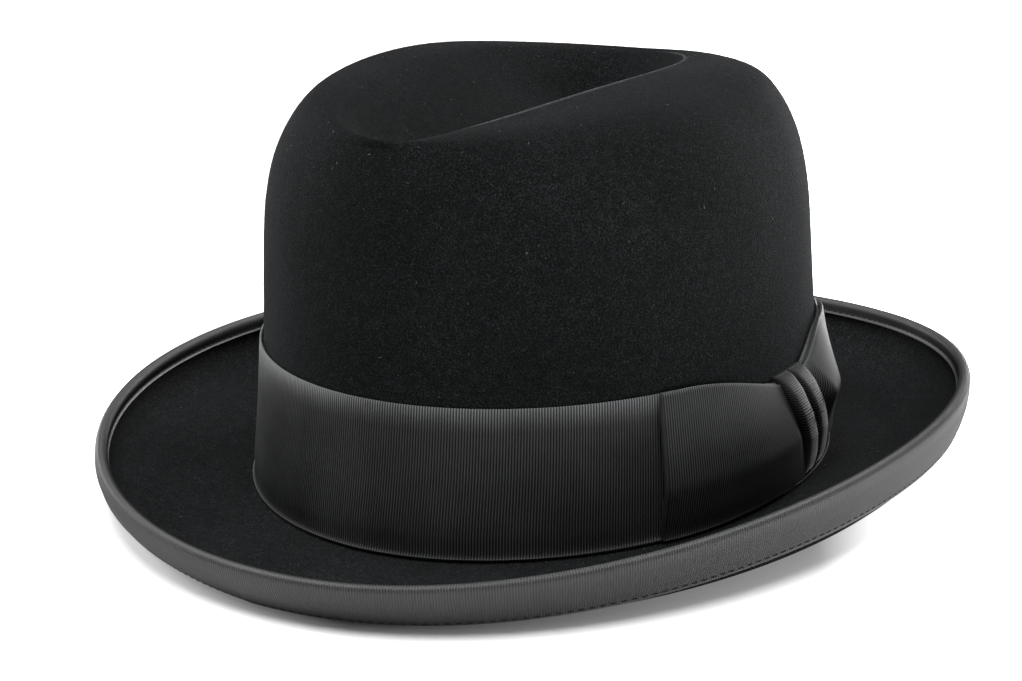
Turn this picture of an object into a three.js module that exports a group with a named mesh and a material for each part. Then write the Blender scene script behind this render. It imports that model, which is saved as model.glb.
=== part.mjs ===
// A homburg: one piece of stiff felt with a curled brim and a dented crown, a ribbed hat band with a flat bow
// on the wearer's left, and a ribbed binding round the brim's edge.
// Millimetres. +Z is up, -Y is the front and +X is the wearer's left. The hat rests brim down on z = 0.

import * as THREE from 'three';

// Driving sizes.
// The break is the fold where the crown turns into the brim. Its oval fits a medium head.
const breakLength = 206.6;
const breakWidth = 174.6;
const breakFillet = 3.2;
const ovalEgg = 0.03;
const feltThickness = 1.8;

// How far the brim reaches past the break, seen from above.
const brimReachFront = 52.5;
const brimReachLeft = 42.3;
const brimReachBack = 51.5;
const brimReachRight = 46.0;

// How high the brim's edge stands over the break.
const rimRiseFront = 11.2;
const rimRiseLeft = 23.0;
const rimRiseBack = 12.6;
const rimRiseRight = 17.8;

// The brim's plate is level in front and behind and climbs at the sides, in degrees.
const plateClimbLeft = 1.0;
const plateClimbRight = 6.5;
const levelHalfWidth = 0.2;

// The lean of the felt's edge, in degrees: 90 stands upright, and more leans in over the brim.
const curlLeanFront = 82.0;
const curlLeanLeft = 93.0;
const curlLeanBack = 92.0;
const curlLeanRight = 114.0;

// The crown, from the break to its highest point.
const crownHeightFront = 118.0;
const crownHeightLeft = 122.0;
const crownHeightBack = 115.7;
const crownHeightRight = 123.3;

// The dent in the crown's top: an egg with its point to the front, drawn a little to the right there.
const dentLengthFront = 83.5;
const dentLengthBack = 78.0;
const dentHalfWidthLeft = 33.0;
const dentHalfWidthRight = 42.0;
const dentSkew = 9.0;
const dentDepth = 19.0;
const dentFloorHalfLength = 46.0;

// Ribbons: the hat band, the binding of the edge and the bow.
const ribbonThickness = 1.0;
const ribbonGap = 0.3;
const bandHeight = 43.5;
const bindingInside = 3.0;
const bindingOutside = 12.0;
const bowReachFront = 66.0;
const bowReachBack = 54.0;
const bowPuff = 4.6;
const bowEdge = 1.2;
const bowSeat = 0.6;

// The knot gathers the band and the bow: their upper edge dips to it over these lengths.
const knotPlace = -7.0;
const knotPinch = 9.0;
const pinchFront = 56.0;
const pinchBack = 28.0;
const knotHigh = 37.0;
const knotLow = 3.5;
const wrapWidth = 9.0;
const wrapDepth = 5.0;

// How finely the solids are faceted.
const columns = 56;
const curlStep = 3.0;
const plateSteps = 3;
const foldSteps = 3;
const turnStep = 0.01;

// The crown's wall from the break up, in shares of the band's height and of the break's half sizes.
const wallRows = [
  { up: 0.12, left: 0.999, right: 0.999, front: 0.995, back: 0.996, egg: 0.03 },
  { up: 0.50, left: 0.987, right: 0.988, front: 0.957, back: 0.972, egg: 0.03 },
  { up: 1.00, left: 0.970, right: 0.977, front: 0.921, back: 0.950, egg: 0.03 },
];

// The crown above the band, in shares of the height that is left and of the break's half sizes.
// The egg column says how much a section widens towards the back, and the skew column how far its front is
// drawn to the right with the dent.
const crownRows = [
  { up: 0.30, left: 0.958, right: 0.964, front: 0.905, back: 0.940, egg: 0.03, skew: 0 },
  { up: 0.55, left: 0.941, right: 0.946, front: 0.893, back: 0.932, egg: 0.03, skew: 0 },
  { up: 0.71, left: 0.912, right: 0.910, front: 0.880, back: 0.920, egg: 0.03, skew: 0 },
  { up: 0.81, left: 0.878, right: 0.866, front: 0.867, back: 0.900, egg: 0.03, skew: 0 },
  { up: 0.89, left: 0.834, right: 0.810, front: 0.852, back: 0.873, egg: 0.04, skew: 0.1 },
  { up: 0.95, left: 0.782, right: 0.745, front: 0.838, back: 0.843, egg: 0.06, skew: 0.3 },
  { up: 0.985, left: 0.706, right: 0.675, front: 0.826, back: 0.812, egg: 0.10, skew: 0.6 },
  { up: 1.00, left: 0.580, right: 0.600, front: 0.817, back: 0.785, egg: 0.14, skew: 0.9 },
];

// The dent's wall from its lip to its floor: how far in, and how far down at the front and on the left, where the
// lip is a crest, and at the back and on the right, where it is soft.
const dentEggLeft = 0.42;
const dentEggRight = 0.12;
const dentRows = [
  { inward: 0.00, crest: 0.05, soft: 0.02 },
  { inward: 0.10, crest: 0.26, soft: 0.08 },
  { inward: 0.30, crest: 0.58, soft: 0.32 },
  { inward: 0.54, crest: 0.83, soft: 0.66 },
  { inward: 0.77, crest: 0.95, soft: 0.91 },
  { inward: 0.94, crest: 1.00, soft: 1.00 },
];

// The bow's loops from the knot to the loop's end: the lower and upper edge in shares of the band's height
// there, the puff in shares of the bow's puff, and the height of the fold's ridge between the two edges.
const frontLoopRows = [
  { along: 0.00, low: 0.14, high: 0.93, puff: 0.40, ridge: 0.47 },
  { along: 0.12, low: 0.11, high: 0.97, puff: 0.75, ridge: 0.45 },
  { along: 0.30, low: 0.08, high: 1.00, puff: 0.95, ridge: 0.41 },
  { along: 0.55, low: 0.05, high: 1.02, puff: 0.90, ridge: 0.38 },
  { along: 0.80, low: 0.04, high: 1.03, puff: 0.80, ridge: 0.36 },
  { along: 1.00, low: 0.04, high: 1.02, puff: 0.75, ridge: 0.35 },
];
const backLoopRows = [
  { along: 0.00, low: 0.30, high: 1.04, puff: 0.45, ridge: 0.44 },
  { along: 0.15, low: 0.29, high: 1.06, puff: 1.05, ridge: 0.45 },
  { along: 0.35, low: 0.23, high: 1.05, puff: 1.25, ridge: 0.47 },
  { along: 0.60, low: 0.15, high: 1.05, puff: 0.85, ridge: 0.48 },
  { along: 0.82, low: 0.12, high: 1.04, puff: 0.40, ridge: 0.45 },
  { along: 1.00, low: 0.13, high: 1.03, puff: 0.15, ridge: 0.42 },
];

// A loop's section from its lower edge over the ridge to its upper edge: where, and how far it is puffed out.
const loopSection = [
  { share: 0.0, swell: 0.00 },
  { share: 0.5, swell: 0.30 },
  { share: 1.0, swell: 1.00 },
  { share: 1.5, swell: 0.58 },
  { share: 2.0, swell: 0.00 },
];

// The two wraps of the knot from bottom to top: how far each lies behind the side's middle,
// in wrap widths, and how far it stands out, in shares of its depth. Over the wrap's width it is rounded off.
const wrapRows = [
  { up: 0.00, front: -0.03, back: 1.16, depth: 0.60 },
  { up: 0.14, front: -0.07, back: 1.07, depth: 0.80 },
  { up: 0.36, front: -0.27, back: 0.84, depth: 1.00 },
  { up: 0.60, front: -0.70, back: 0.51, depth: 1.00 },
  { up: 0.85, front: -1.23, back: -0.13, depth: 0.85 },
  { up: 1.00, front: -1.53, back: -0.46, depth: 0.50 },
];
const wrapSection = [
  { across: -0.5, out: 0.0 },
  { across: -0.5, out: 0.7 },
  { across: -0.25, out: 1.0 },
  { across: 0.25, out: 1.0 },
  { across: 0.5, out: 0.7 },
  { across: 0.5, out: 0.0 },
];

// Worked out from the driving sizes.
const halfLength = breakLength / 2;
const halfWidth = breakWidth / 2;
const rest = feltThickness;
const radians = Math.PI / 180;
const breakRow = { up: 0, left: 1, right: 1, front: 1, back: 1, egg: ovalEgg };
const middle = (a, b, share) => a + (b - a) * share;

// A size with one value each at the front, the left, the back and the right, at the angle t.
// t runs from the front (0) over the wearer's left side (a quarter turn) to the back (half a turn).
function around(front, left, back, right, t) {
  const end = Math.cos(t) > 0 ? front : back;
  const side = Math.sin(t) > 0 ? left : right;
  return middle(side, end, Math.cos(t) ** 2);
}

// An oval with a half size for each side, in the plane z = 0. The egg widens it towards the back.
function ovalPoint(t, { left, right, front, back, egg }) {
  const along = Math.cos(t);
  const across = Math.sin(t);
  const half = (front + back) / 2 + along * (front - back) / 2;
  const side = across > 0 ? left : right;
  return new THREE.Vector3(side * across * (1 - egg * along), -half * along, 0);
}

// The oval of a row that is given in shares of the break's half sizes.
function rowOval(t, { left, right, front, back, egg }) {
  const sizes = { left: left * halfWidth, right: right * halfWidth, front: front * halfLength, back: back * halfLength };
  return ovalPoint(t, { ...sizes, egg });
}

// How far the angle t lies behind the middle of the wearer's left side, along the band.
const alongAt = (t) => (t - Math.PI / 2) * halfLength;

// The band's height at a place along it, gathered at the knot.
function bandTop(along) {
  const away = along < knotPlace ? (knotPlace - along) / pinchFront : (along - knotPlace) / pinchBack;
  return bandHeight - knotPinch * THREE.MathUtils.smoothstep(1 - away, 0, 1);
}

// The brim's section at the angle t: a nearly level plate and a curl that ends at the felt's edge.
function brimSection(t) {
  const foot = rowOval(t, breakRow);
  const edge = ovalPoint(t, {
    left: halfWidth + brimReachLeft,
    right: halfWidth + brimReachRight,
    front: halfLength + brimReachFront,
    back: halfLength + brimReachBack,
    egg: ovalEgg,
  });
  const reach = edge.distanceTo(foot);
  const outward = edge.clone().sub(foot).normalize();
  const turn = Math.max(0, (Math.sin(t) ** 2 - levelHalfWidth ** 2) / (1 - levelHalfWidth ** 2));
  const climb = (Math.sin(t) > 0 ? plateClimbLeft : plateClimbRight) * Math.sqrt(turn) * radians;
  const lean = around(curlLeanFront, curlLeanLeft, curlLeanBack, curlLeanRight, t) * radians;
  const rise = around(rimRiseFront, rimRiseLeft, rimRiseBack, rimRiseRight, t);
  const slope = Math.tan(climb);
  const bow = Math.cos(climb) - Math.cos(lean) - slope * (Math.sin(lean) - Math.sin(climb));
  const radius = (rise - slope * reach) / bow;
  const plate = (reach - radius * (Math.sin(lean) - Math.sin(climb))) / Math.cos(climb);
  return { foot, outward, climb, lean, radius, plate, arc: radius * (lean - climb) };
}

// A point of that section, a length s in from the felt's edge along its upper side.
function brimPoint(section, s) {
  const { foot, outward, climb, lean, radius, plate, arc } = section;
  const level = new THREE.Vector2(plate * Math.cos(climb), plate * Math.sin(climb));
  if (s < arc) {
    const angle = lean - s / radius;
    level.x += radius * (Math.sin(angle) - Math.sin(climb));
    level.y += radius * (Math.cos(climb) - Math.cos(angle));
  } else {
    level.x -= (s - arc) * Math.cos(climb);
    level.y -= (s - arc) * Math.sin(climb);
  }
  return foot.clone().addScaledVector(outward, level.x).setZ(level.y);
}

// The fold between the brim's plate and the crown's wall, from the plate (0) to the wall (1).
function breakPoint(section, share) {
  const angle = share * Math.PI / 2;
  const away = breakFillet * (1 - Math.sin(angle));
  const up = breakFillet * (1 - Math.cos(angle)) + away * Math.tan(section.climb);
  return section.foot.clone().addScaledVector(section.outward, away).setZ(up);
}

// The felt's upper and outer side as rings of points, from the brim's edge to the floor of the dent.
function feltRings() {
  const angles = Array.from({ length: columns }, (unused, i) => (i + 0.5) * 2 * Math.PI / columns);
  const sections = angles.map(brimSection);
  const rings = [];
  const names = {};
  const ring = (make) => rings.push(angles.map((t, i) => make(t, sections[i])));

  const curlRows = Math.round(Math.max(bindingInside, bindingOutside) / curlStep);
  for (let row = 0; row <= curlRows; row += 1) {
    ring((t, section) => brimPoint(section, row * curlStep));
  }
  for (const share of [1 / 2, 1]) {
    ring((t, section) => brimPoint(section, middle(curlRows * curlStep, section.arc, share)));
  }
  for (let step = 1; step < plateSteps; step += 1) {
    ring((t, section) => brimPoint(section, section.arc + step / plateSteps * (section.plate - breakFillet)));
  }
  for (let step = 0; step <= foldSteps; step += 1) {
    if (step === 1) names.bandFoot = rings.length;
    ring((t, section) => breakPoint(section, step / foldSteps));
  }
  for (const row of wallRows) {
    ring((t) => rowOval(t, row).setZ(middle(breakFillet, bandTop(alongAt(t)), row.up)));
  }
  names.bandTop = rings.length - 1;
  const crownHeight = (t) => around(crownHeightFront, crownHeightLeft, crownHeightBack, crownHeightRight, t);
  const skew = (t) => dentSkew * (1 + Math.cos(t)) / 2;
  for (const row of crownRows) {
    ring((t) => {
      const point = rowOval(t, row);
      return point.setX(point.x - skew(t) * row.skew).setZ(middle(bandTop(alongAt(t)), crownHeight(t), row.up));
    });
  }
  for (const row of dentRows) {
    ring((t) => {
      const lip = ovalPoint(t, {
        left: dentHalfWidthLeft,
        right: dentHalfWidthRight,
        front: dentLengthFront,
        back: dentLengthBack,
        egg: Math.sin(t) > 0 ? dentEggLeft : dentEggRight,
      });
      const floor = new THREE.Vector3(0, -dentFloorHalfLength * Math.cos(t), 0);
      const down = around(row.crest, row.crest, row.soft, row.soft, t) * dentDepth;
      return lip.lerp(floor, row.inward).setX(lip.x - skew(t)).setZ(crownHeight(t) - down);
    });
  }
  return { rings, names };
}

// The directions at right angles to a sheet of rings, pointing to its upper and outer side.
function ringNormals(rings) {
  return rings.map((ring, row) => ring.map((point, i) => {
    const before = rings[Math.max(row - 1, 0)][i];
    const after = rings[Math.min(row + 1, rings.length - 1)][i];
    const left = ring[(i + 1) % ring.length];
    const right = ring[(i + ring.length - 1) % ring.length];
    const inward = after.clone().sub(before);
    return left.clone().sub(right).cross(inward).normalize();
  }));
}

const felt = feltRings();
const normals = ringNormals(felt.rings);

// The ring of a row of the felt, moved off its upper side by a distance.
function offsetRing(row, distance) {
  return felt.rings[row].map((point, i) => point.clone().addScaledVector(normals[row][i], distance));
}

// The same for the edge row, carried on past the felt's edge.
function edgeRing(past, distance) {
  return offsetRing(0, distance).map((point, i) => {
    const onward = felt.rings[0][i].clone().sub(felt.rings[1][i]).normalize();
    return point.addScaledVector(onward, past);
  });
}

// A closed solid through a list of rings. The ends are filled in, or the last ring joins the first.
function ringSolid(rings, joined) {
  const count = rings[0].length;
  const positions = rings.flat().flatMap((point) => [point.x, point.y, point.z + rest]);
  const faces = [];
  const quad = (a, b, c, d) => faces.push(a, b, c, a, c, d);
  const steps = joined ? rings.length : rings.length - 1;
  for (let row = 0; row < steps; row += 1) {
    const next = (row + 1) % rings.length;
    for (let i = 0; i < count; i += 1) {
      const after = (i + 1) % count;
      quad(row * count + i, row * count + after, next * count + after, next * count + i);
    }
  }
  if (!joined) {
    fillRing(faces, 0, count, true);
    fillRing(faces, (rings.length - 1) * count, count, false);
  }
  return solidGeometry(positions, faces);
}

// A ring is filled with a strip from its front pair of points to its back pair.
function fillRing(faces, first, count, turned) {
  for (let i = 0; i < count / 2 - 1; i += 1) {
    const a = first + i;
    const b = first + i + 1;
    const c = first + count - 2 - i;
    const d = first + count - 1 - i;
    if (turned) faces.push(a, c, b, a, d, c);
    else faces.push(a, b, c, a, c, d);
  }
}

// A geometry from points and faces, turned so that its faces point out.
function solidGeometry(positions, faces) {
  const geometry = new THREE.BufferGeometry();
  geometry.setAttribute('position', new THREE.Float32BufferAttribute(positions, 3));
  const corner = (index) => new THREE.Vector3().fromArray(positions, 3 * index);
  let volume = 0;
  for (let i = 0; i < faces.length; i += 3) {
    volume += corner(faces[i]).dot(corner(faces[i + 1]).cross(corner(faces[i + 2])));
  }
  geometry.setIndex(volume > 0 ? faces : faces.toReversed());
  geometry.computeVertexNormals();
  return geometry;
}

// The felt: the upper side out to the edge, and the underside back to the dent.
function feltGeometry() {
  const rows = felt.rings.map((ring, row) => row);
  const upper = rows.toReversed().map((row) => offsetRing(row, 0));
  const under = rows.map((row) => offsetRing(row, -feltThickness));
  return ringSolid([...upper, ...under], false);
}

// The hat band: a ribbon standing round the crown, its foot flared by the fold of the brim.
function bandGeometry() {
  const rows = felt.rings.map((ring, row) => row).slice(felt.names.bandFoot, felt.names.bandTop + 1);
  const inner = rows.map((row) => offsetRing(row, ribbonGap));
  const outer = rows.toReversed().map((row) => offsetRing(row, ribbonGap + ribbonThickness));
  return ringSolid([...inner, ...outer], true);
}

// The binding: a ribbon folded over the felt's edge, with a narrow leg inside and a wide one outside.
function bindingGeometry() {
  const legRows = (width) => Array.from({ length: Math.round(width / curlStep) + 1 }, (unused, row) => row);
  const insideRows = legRows(bindingInside);
  const outsideRows = legRows(bindingOutside);
  const layer = (gap) => {
    const inside = insideRows.toReversed().map((row) => offsetRing(row, gap));
    const outside = outsideRows.map((row) => offsetRing(row, -feltThickness - gap));
    return [...inside, edgeRing(gap, gap), edgeRing(gap, -feltThickness - gap), ...outside];
  };
  const near = layer(ribbonGap);
  const far = layer(ribbonGap + ribbonThickness);
  return ringSolid([...near, ...far.toReversed()], true);
}

// A row of a table at a share along it, with all its columns interpolated.
function tableRow(rows, key, share) {
  const found = rows.findIndex((row) => row[key] >= share);
  const above = found < 0 ? rows.length - 1 : Math.max(found, 1);
  const low = rows[above - 1];
  const high = rows[above];
  const part = Math.min(Math.max((share - low[key]) / (high[key] - low[key]), 0), 1);
  return Object.fromEntries(Object.keys(low).map((name) => [name, middle(low[name], high[name], part)]));
}

// A point over the band's outer face on the wearer's left: along it from the side's middle towards the back,
// up from the band's foot, and out from its face.
function sidePoint(along, up, out) {
  const share = Math.max(0, Math.min(1, (up - breakFillet) / (bandTop(along) - breakFillet)));
  const row = tableRow([breakRow, ...wallRows], 'up', share);
  const face = (t) => rowOval(t, row);
  const turn = Math.PI / 2 + along / halfLength;
  const point = face(turn);
  const onward = face(turn + turnStep).sub(face(turn - turnStep)).normalize();
  const outward = new THREE.Vector3(onward.y, -onward.x, 0);
  const sunk = Math.min(1, Math.max(0, 1 - up / breakFillet));
  const flare = breakFillet * (1 - Math.sqrt(1 - sunk ** 2));
  return point.addScaledVector(outward, ribbonGap + ribbonThickness + flare + out).setZ(up);
}

// How far the knot's wrap lies behind the side's middle at a height.
function wrapAlong(name, up) {
  return tableRow(wrapRows, 'up', (up - knotLow) / (knotHigh - knotLow))[name] * wrapWidth;
}

// One loop of the bow: a puffed ribbon folded lengthwise, from the knot to its end.
function loopGeometry(rows, reach, towards, wrapName) {
  const edge = wrapWidth / 2 + ribbonGap;
  const rings = rows.map((row) => {
    const middleAlong = knotPlace + towards * reach * row.along;
    const top = bandTop(middleAlong) * row.high;
    const foot = bandHeight * row.low;
    const ridge = middle(foot, top, row.ridge);
    const place = (share, out) => {
      const up = share < 1 ? middle(foot, ridge, share) : middle(ridge, top, share - 1);
      const start = wrapAlong(wrapName, up) + towards * edge;
      return sidePoint(middle(start, knotPlace + towards * reach, row.along), up, out);
    };
    const face = loopSection.map(({ share, swell }) => place(share, bowSeat + bowEdge + bowPuff * row.puff * swell));
    const back = loopSection.toReversed().map(({ share }) => place(share, bowSeat));
    return [...face, ...back];
  });
  return ringSolidFan(rings);
}

// A closed solid through rings that are filled at both ends with fans.
function ringSolidFan(rings) {
  const count = rings[0].length;
  const positions = rings.flat().flatMap((point) => [point.x, point.y, point.z + rest]);
  const faces = [];
  for (let row = 0; row < rings.length - 1; row += 1) {
    for (let i = 0; i < count; i += 1) {
      const after = (i + 1) % count;
      const a = row * count + i;
      const b = row * count + after;
      faces.push(a, b, b + count, a, b + count, a + count);
    }
  }
  const last = (rings.length - 1) * count;
  for (let i = 0; i < count / 2 - 1; i += 1) {
    const low = i;
    const high = count - 1 - i;
    faces.push(low, high, high - 1, low, high - 1, low + 1);
    faces.push(last + low, last + high - 1, last + high, last + low, last + low + 1, last + high - 1);
  }
  return solidGeometry(positions, faces);
}

// One wrap of the knot: a narrow ribbon wound over the middle of the bow.
function wrapGeometry(name) {
  const rings = wrapRows.map((row) => {
    const up = middle(knotLow, knotHigh, row.up);
    const along = row[name] * wrapWidth;
    return wrapSection.map(({ across, out }) => sidePoint(
      along + across * wrapWidth, up, bowSeat + out * row.depth * wrapDepth,
    ));
  });
  return ringSolidFan(rings);
}

const feltFinish = new THREE.MeshStandardMaterial({ color: 0x1b1d1f, roughness: 0.95, metalness: 0 });
const ribbonFinish = new THREE.MeshStandardMaterial({ color: 0x3a3d3f, roughness: 0.7, metalness: 0 });

function piece(name, geometry, finish) {
  const mesh = new THREE.Mesh(geometry, finish);
  mesh.name = name;
  return mesh;
}

const group = new THREE.Group();
group.add(piece('felt_body', feltGeometry(), feltFinish));
group.add(piece('hat_band', bandGeometry(), ribbonFinish));
group.add(piece('brim_binding', bindingGeometry(), ribbonFinish));

const bow = new THREE.Group();
bow.add(piece('bow_front_loop', loopGeometry(frontLoopRows, bowReachFront, -1, 'front'), ribbonFinish));
bow.add(piece('bow_back_loop', loopGeometry(backLoopRows, bowReachBack, 1, 'back'), ribbonFinish));
bow.add(piece('knot_wrap_front', wrapGeometry('front'), ribbonFinish));
bow.add(piece('knot_wrap_back', wrapGeometry('back'), ribbonFinish));
group.add(bow);

// The pieces are moved so that the middle of the hat's underside is the origin.
group.updateMatrixWorld(true);
const box = new THREE.Box3().setFromObject(group);
const centre = box.getCenter(new THREE.Vector3());
group.traverse((node) => {
  if (node.isMesh) node.geometry.translate(-centre.x, -centre.y, -box.min.z);
});

export default group;
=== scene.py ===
# %% [markdown]
# # A homburg hat
# A homburg is blocked from one hood of stiff fur felt: a high crown with one long dent in its top, and a brim
# whose edge is curled up all round. A ribbed ribbon stands round the crown, a flat bow covers its join on the
# wearer's left, and a second ribbon is folded over the brim's edge.
# Plain solids of these pieces are packed as a frame. This script loads it and dresses each solid with the surface
# that the eye sees. A hat is measured in ovals and heights, so short tables of sections shape it here.

# %% Load the frame
import math

import bpy
import numpy as np
from mathutils import Matrix, Vector


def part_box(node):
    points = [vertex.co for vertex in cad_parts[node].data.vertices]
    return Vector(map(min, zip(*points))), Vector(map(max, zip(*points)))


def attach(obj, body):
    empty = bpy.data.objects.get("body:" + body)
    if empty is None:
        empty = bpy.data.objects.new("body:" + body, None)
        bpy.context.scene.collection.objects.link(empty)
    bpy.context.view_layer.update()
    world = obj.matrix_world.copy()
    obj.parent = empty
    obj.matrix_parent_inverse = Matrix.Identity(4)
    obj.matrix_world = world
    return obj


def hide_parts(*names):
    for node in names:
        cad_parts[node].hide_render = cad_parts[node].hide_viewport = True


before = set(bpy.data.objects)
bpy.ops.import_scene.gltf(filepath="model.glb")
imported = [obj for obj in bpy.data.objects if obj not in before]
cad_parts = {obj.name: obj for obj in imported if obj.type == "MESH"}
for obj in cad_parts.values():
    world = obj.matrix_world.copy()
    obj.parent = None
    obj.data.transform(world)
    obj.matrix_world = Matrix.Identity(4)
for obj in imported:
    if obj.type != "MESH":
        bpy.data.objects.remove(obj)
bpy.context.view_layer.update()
print("Nodes of the frame:", sorted(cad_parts))

# %% [markdown]
# ## Where the hat stands
# Hatters measure from the break, the fold where the crown turns into the brim, so the tables below do too, in
# millimetres. The middle of the band's box is the middle of the break's oval, and all points are moved there when
# a mesh is made.

# %% The break's middle in the frame
MM = 0.001
FELT = 1.8
band_low, band_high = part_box("hat_band")
OVAL_MIDDLE = np.array([(band_low[0] + band_high[0]) / 2, (band_low[1] + band_high[1]) / 2, FELT * MM])
print("Middle of the break's oval, in metres:", OVAL_MIDDLE.round(5))

# %% [markdown]
# ## The hat's sizes
# The same sizes as in the frame. A size that differs round the hat has one value each for the front, the wearer's
# left, the back and the right. The angle t runs from the front over the wearer's left to the back.

# %% Sizes of the felt
BREAK_LENGTH = 206.6
BREAK_WIDTH = 174.6
BREAK_FILLET = 3.2
OVAL_EGG = 0.03
BRIM_REACH = (52.5, 42.3, 51.5, 46.0)
RIM_RISE = (11.2, 23.0, 12.6, 17.8)
CURL_LEAN = (82.0, 93.0, 92.0, 114.0)
PLATE_CLIMB_LEFT = 1.0
PLATE_CLIMB_RIGHT = 6.5
LEVEL_HALF_WIDTH = 0.2
CROWN_HEIGHT = (118.0, 122.0, 115.7, 123.3)
BAND_HEIGHT = 43.5
HALF_LENGTH = BREAK_LENGTH / 2
HALF_WIDTH = BREAK_WIDTH / 2

# The dent in the crown's top. Its sides are how far its lip reaches to the left, right, front and back.
DENT_SIDES = (33.0, 42.0, 83.5, 78.0)
DENT_EGG_LEFT, DENT_EGG_RIGHT = 0.42, 0.12
DENT_SKEW = 9.0
DENT_DEPTH = 19.0
DENT_FLOOR = 46.0

# The knot gathers the band and the bow.
KNOT_PLACE = -7.0
KNOT_PINCH = 9.0
PINCH_FRONT = 56.0
PINCH_BACK = 28.0


def middle(a, b, share):
    """The value that lies a share of the way from a to b."""
    return a + (b - a) * share


def smooth(share):
    """0 to 1 with a soft start and end."""
    share = np.clip(share, 0, 1)
    return share * share * (3 - 2 * share)


def unit(vectors):
    """The same directions with a length of 1."""
    return vectors / np.linalg.norm(vectors, axis=-1, keepdims=True)


def around(sizes, t):
    """A size that is given for the front, left, back and right, at the angles t."""
    front, left, back, right = sizes
    end = np.where(np.cos(t) > 0, front, back)
    side = np.where(np.sin(t) > 0, left, right)
    return middle(side, end, np.cos(t) ** 2)


def band_top(along):
    """The band's height at a place along it, counted from the middle of the wearer's left side."""
    away = np.where(along < KNOT_PLACE, (KNOT_PLACE - along) / PINCH_FRONT, (along - KNOT_PLACE) / PINCH_BACK)
    return BAND_HEIGHT - KNOT_PINCH * smooth(1 - away)


print("The band is", BAND_HEIGHT, "mm high and", band_top(np.array(KNOT_PLACE)), "mm at the knot")

# %% [markdown]
# ## Sections of the crown
# Each row is a level section through the crown: how high it lies, and how far it reaches to each side in shares of
# the break's oval. The egg widens a section towards the back, and the skew draws its front to the right, as the
# dent's point is. A hat block is carved by such sections too.

# %% Tables of the sections
WALL_KEYS = ("up", "left", "right", "front", "back", "egg")
WALL_ROWS = [
    (0.12, 0.999, 0.999, 0.995, 0.996, 0.03),
    (0.50, 0.987, 0.988, 0.957, 0.972, 0.03),
    (1.00, 0.970, 0.977, 0.921, 0.950, 0.03),
]
CROWN_KEYS = ("up", "left", "right", "front", "back", "egg", "skew")
CROWN_ROWS = [
    (0.30, 0.958, 0.964, 0.905, 0.940, 0.03, 0.0),
    (0.55, 0.941, 0.946, 0.893, 0.932, 0.03, 0.0),
    (0.71, 0.912, 0.910, 0.880, 0.920, 0.03, 0.0),
    (0.81, 0.878, 0.866, 0.867, 0.900, 0.03, 0.0),
    (0.89, 0.834, 0.810, 0.852, 0.873, 0.04, 0.1),
    (0.95, 0.782, 0.745, 0.838, 0.843, 0.06, 0.3),
    (0.985, 0.706, 0.675, 0.826, 0.812, 0.10, 0.6),
    (1.00, 0.580, 0.600, 0.817, 0.785, 0.14, 0.9),
]
# The dent's wall from its lip to its floor: how far in, and how far down at the front and on the left, where the
# lip is a crest, and at the back and on the right, where it is soft.
DENT_ROWS = [
    (0.00, 0.05, 0.02),
    (0.10, 0.26, 0.08),
    (0.30, 0.58, 0.31),
    (0.54, 0.83, 0.65),
    (0.77, 0.95, 0.90),
    (0.94, 1.00, 1.00),
]
BREAK_ROW = dict(zip(WALL_KEYS, (0.0, 1.0, 1.0, 1.0, 1.0, OVAL_EGG)))


def oval(t, left, right, front, back, egg):
    """Points of an oval with a half size for each side, in the plane z = 0."""
    along, across = np.cos(t), np.sin(t)
    half = (front + back) / 2 + along * (front - back) / 2
    side = np.where(across > 0, left, right)
    return np.stack([side * across * (1 - egg * along), -half * along, np.zeros_like(t)], axis=-1)


def row_oval(t, row):
    """The oval of a table's row, which holds shares of the break's half sizes."""
    return oval(
        t, row["left"] * HALF_WIDTH, row["right"] * HALF_WIDTH,
        row["front"] * HALF_LENGTH, row["back"] * HALF_LENGTH, row["egg"],
    )


def lifted(points, height):
    """The same points at another height."""
    return np.concatenate([points[..., :2], np.broadcast_to(height, points.shape[:-1])[..., None]], axis=-1)


print("Sections:", len(WALL_ROWS), "of the wall,", len(CROWN_ROWS), "of the crown,", len(DENT_ROWS), "of the dent")

# %% [markdown]
# ## The brim's section
# Seen cut through, the brim is a nearly level plate that goes over into a round curl. The curl is an arc that
# starts in the plate's direction and ends at the lean of the edge, so its radius follows from how far and how high
# the edge lies, and it stays round at every angle of the hat.

# %% Brim and break
# The small step along the felt over which directions are measured, in mm.
NEARBY = 0.5


def brim_section(t):
    """The brim's section at the angles t, as a dictionary of arrays."""
    foot = row_oval(t, BREAK_ROW)
    front, left, back, right = BRIM_REACH
    edge = oval(t, HALF_WIDTH + left, HALF_WIDTH + right, HALF_LENGTH + front, HALF_LENGTH + back, OVAL_EGG)
    reach = np.linalg.norm(edge - foot, axis=-1)
    outward = (edge - foot) / reach[:, None]
    turn = np.maximum(0, (np.sin(t) ** 2 - LEVEL_HALF_WIDTH ** 2) / (1 - LEVEL_HALF_WIDTH ** 2))
    climb = np.radians(np.where(np.sin(t) > 0, PLATE_CLIMB_LEFT, PLATE_CLIMB_RIGHT) * np.sqrt(turn))
    lean = np.radians(around(CURL_LEAN, t))
    rise = around(RIM_RISE, t)
    slope = np.tan(climb)
    bow = np.cos(climb) - np.cos(lean) - slope * (np.sin(lean) - np.sin(climb))
    radius = (rise - slope * reach) / bow
    plate = (reach - radius * (np.sin(lean) - np.sin(climb))) / np.cos(climb)
    return dict(
        foot=foot, outward=outward, climb=climb, lean=lean, radius=radius, plate=plate,
        arc=radius * (lean - climb),
    )


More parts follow.
